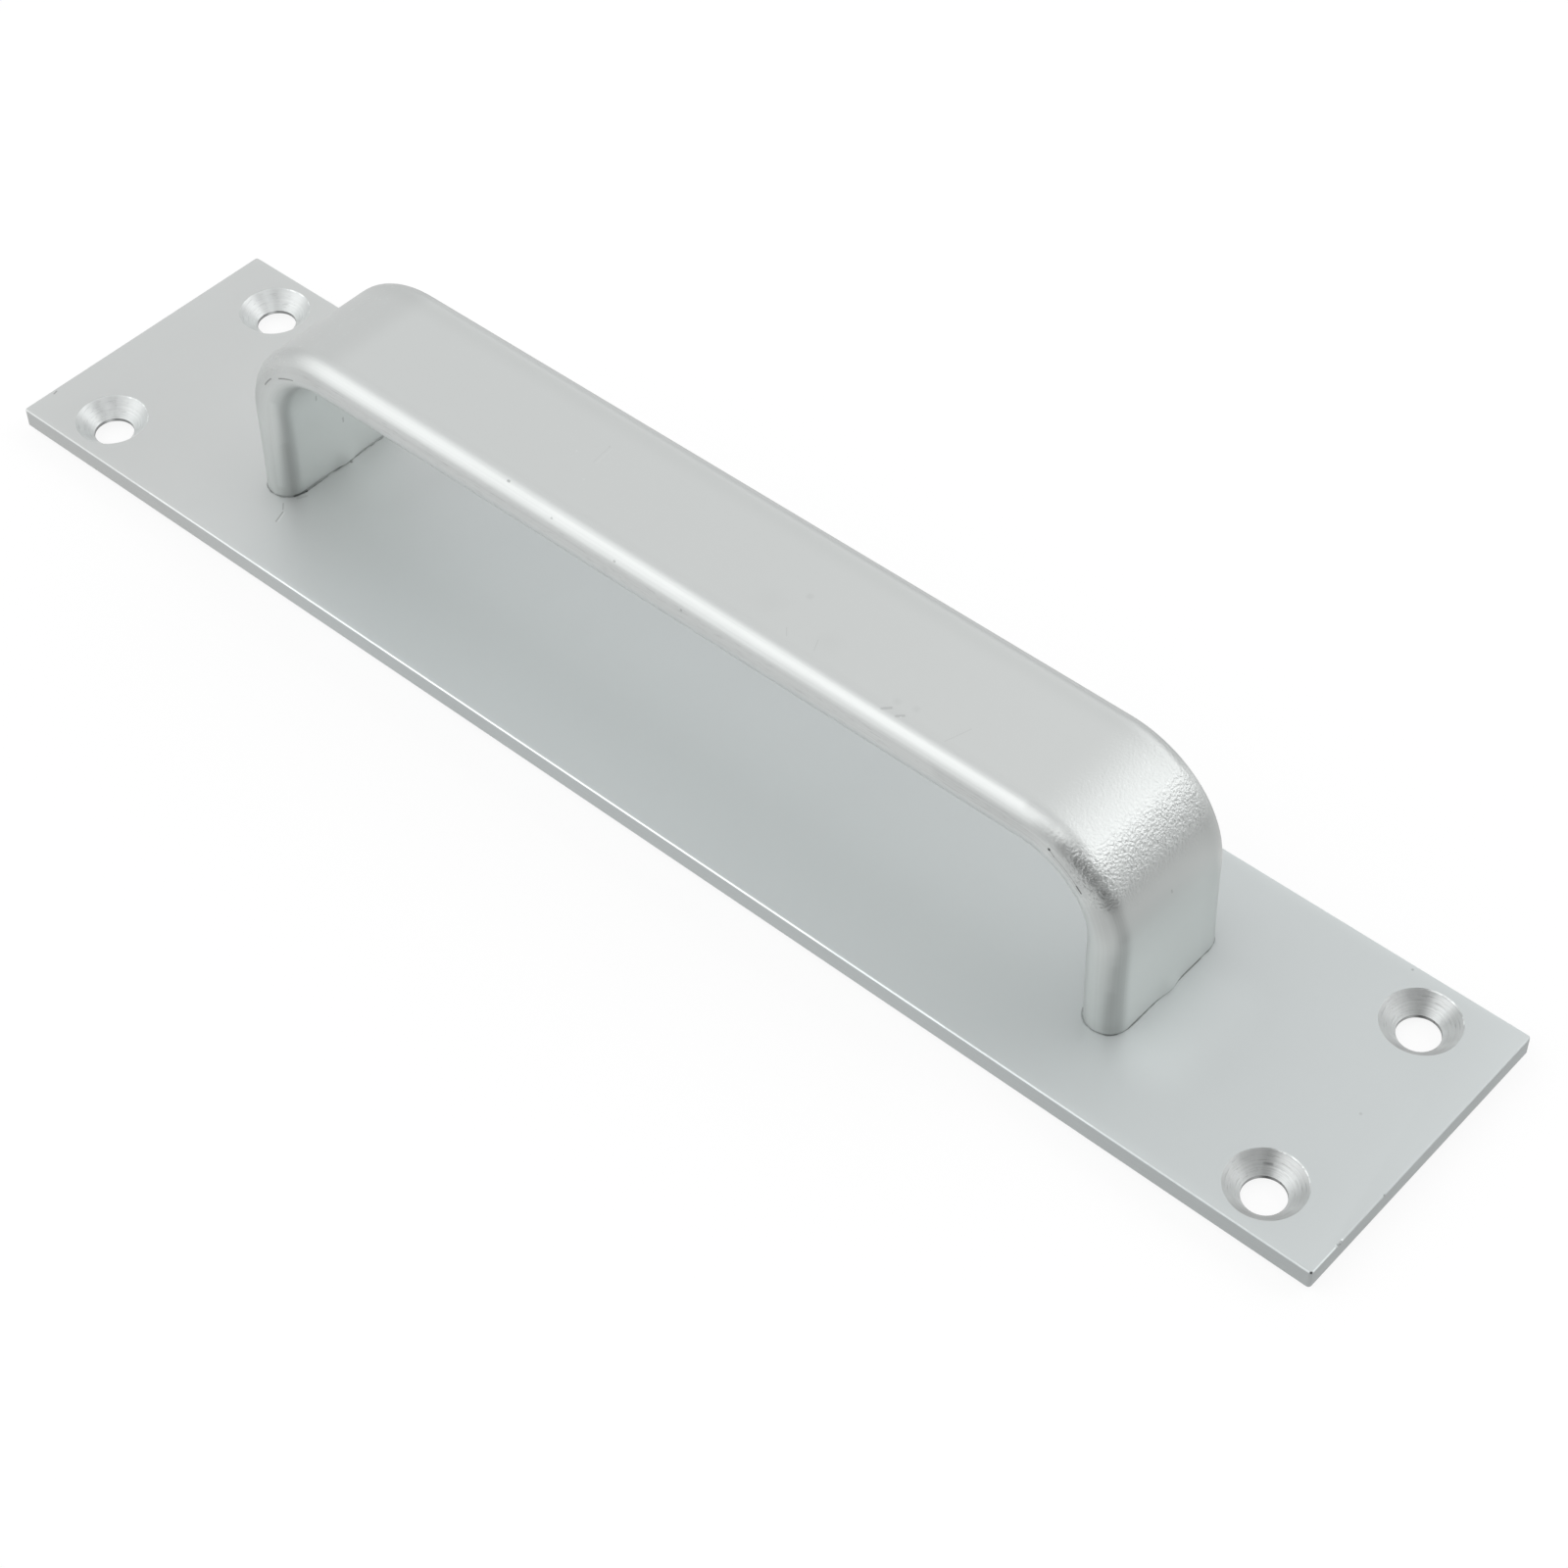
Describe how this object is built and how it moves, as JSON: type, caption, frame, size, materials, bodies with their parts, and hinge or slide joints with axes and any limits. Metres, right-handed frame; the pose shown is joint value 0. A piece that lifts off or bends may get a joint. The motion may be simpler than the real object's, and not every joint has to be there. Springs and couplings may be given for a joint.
{
  "type": "adhesive pull handle",
  "caption": "Flat-bar aluminium bow handle on a rectangular back plate with countersunk corner holes and an adhesive pad on the back.",
  "frame": {"origin": "centre of the adhesive pad's face that lies on the door, which is the bottom centre of the part's box", "axes": "+X along the plate and the bow, +Y across the plate, +Z out of the door towards the bow's grip"},
  "size_m": [0.2, 0.04, 0.03],
  "materials": {
    "plate_aluminium": "satin anodised",
    "bow_aluminium": "blasted and satin anodised",
    "zinc_steel": "bright zinc plated",
    "foam_tape": "matte foam with a tacky face"
  },
  "bodies": {
    "root": {"back_plate": "plate_aluminium", "bow_handle": "bow_aluminium", "leg_screws": "zinc_steel", "adhesive_pad": "foam_tape"}
  },
  "joints": []
}
